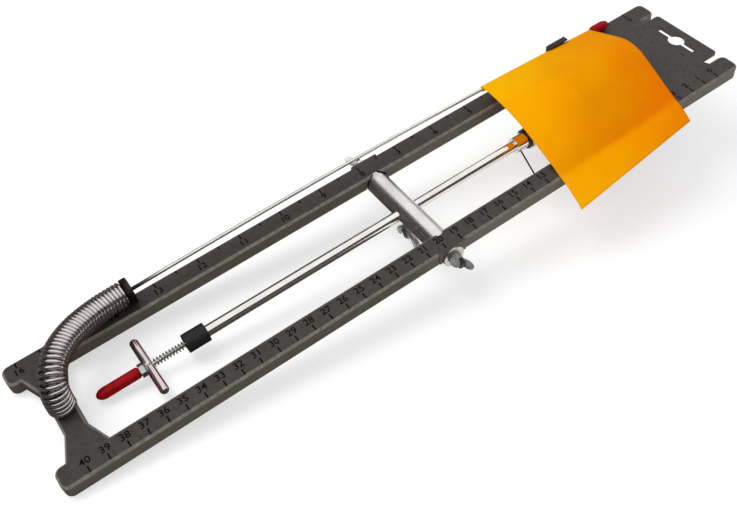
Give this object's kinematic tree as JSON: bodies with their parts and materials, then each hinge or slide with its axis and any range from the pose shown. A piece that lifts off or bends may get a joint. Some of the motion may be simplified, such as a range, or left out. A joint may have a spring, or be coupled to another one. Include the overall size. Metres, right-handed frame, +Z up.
{
  "type": "ice fishing tip-up",
  "caption": "Folded ice fishing tip-up: hollow ruler frame with a tilting spool tube, T-bar trigger and an orange flag on a coil spring arm.",
  "frame": {"origin": "below the cross bar's tilt axis on the centreline, in the plane of the frame's underside: the middle of the hole that the frame lies across in use", "axes": "+X along the frame towards the hang tab, +Y from the near rail to the far rail, +Z up out of the frame's top face"},
  "size_m": [0.4305, 0.1092, 0.057],
  "materials": {
    "frame_plastic": "fine moulded grain",
    "black_plastic": "semi-matt",
    "zinc_steel": "zinc plated",
    "spring_chrome": "polished",
    "dark_steel": "darkened",
    "rod_steel": "drawn",
    "red_dip": "dipped, glossy",
    "flag_sheet": "thin translucent sheet",
    "satin_aluminium": "satin turned",
    "washer_steel": "satin",
    "nut_plastic": "moulded",
    "tube_chrome": "polished",
    "bush_nylon": "natural",
    "collar_steel": "turned and polished",
    "seal_rubber": "matt",
    "spool_plastic": "moulded"
  },
  "bodies": {
    "frame": {"frame": "frame_plastic", "spring_seat": "black_plastic", "seat_screw": "zinc_steel", "rod_clip": "black_plastic", "flag_spring": "spring_chrome"},
    "arm": {"rod_ferrule": "dark_steel", "flag_rod": "rod_steel", "rod_tip": "red_dip", "flag": "flag_sheet"},
    "bar": {"cross_bar": "satin_aluminium", "near_stud": "zinc_steel", "far_stud": "zinc_steel", "near_washer": "washer_steel", "far_washer": "washer_steel"},
    "near_nut": {"near_wing_nut": "nut_plastic"},
    "far_nut": {"far_wing_nut": "nut_plastic"},
    "clamp": {"clamp_screw": "zinc_steel"},
    "tube": {"main_tube": "tube_chrome", "tube_cap": "black_plastic", "left_bush": "bush_nylon", "right_bush": "bush_nylon", "collar": "collar_steel", "inner_seal": "seal_rubber", "steel_ring": "collar_steel", "outer_seal": "seal_rubber", "line_guide": "dark_steel"},
    "spindle": {"trigger_shaft": "rod_steel", "trigger_bar": "tube_chrome", "trigger_nut": "zinc_steel", "handle_grip": "red_dip", "trigger_spring": "zinc_steel", "spool": "spool_plastic", "spool_nut": "zinc_steel"}
  },
  "joints": [
    {"name": "bar_tilt", "type": "hinge", "parent": "frame", "child": "bar", "pos_m": [0, 0, 0.001], "axis": [0, 1, 0], "range_deg": [0, 90]},
    {"name": "tube_slide", "type": "slide", "parent": "bar", "child": "tube", "axis": [1, 0, 0], "range_m": [-0.002, 0.008]},
    {"name": "spindle_spin", "type": "hinge", "parent": "tube", "child": "spindle", "pos_m": [0, 0, 0.001], "axis": [1, 0, 0], "continuous": true},
    {"name": "near_nut_spin", "type": "hinge", "parent": "bar", "child": "near_nut", "pos_m": [0, -0.0458, 0.001], "axis": [0, -1, 0], "continuous": true},
    {"name": "far_nut_spin", "type": "hinge", "parent": "bar", "child": "far_nut", "pos_m": [0, 0.0458, 0.001], "axis": [0, 1, 0], "continuous": true},
    {"name": "clamp_spin", "type": "hinge", "parent": "bar", "child": "clamp", "pos_m": [0, 0, -0.012], "axis": [0, 0, -1], "continuous": true},
    {"name": "flag_arm", "type": "hinge", "parent": "frame", "child": "arm", "pos_m": [-0.118, 0.0747, 0.1195], "axis": [-0.6488, -0.3976, -0.6488], "range_deg": [0, 136.6], "deforming": ["flag_spring"]}
  ]
}
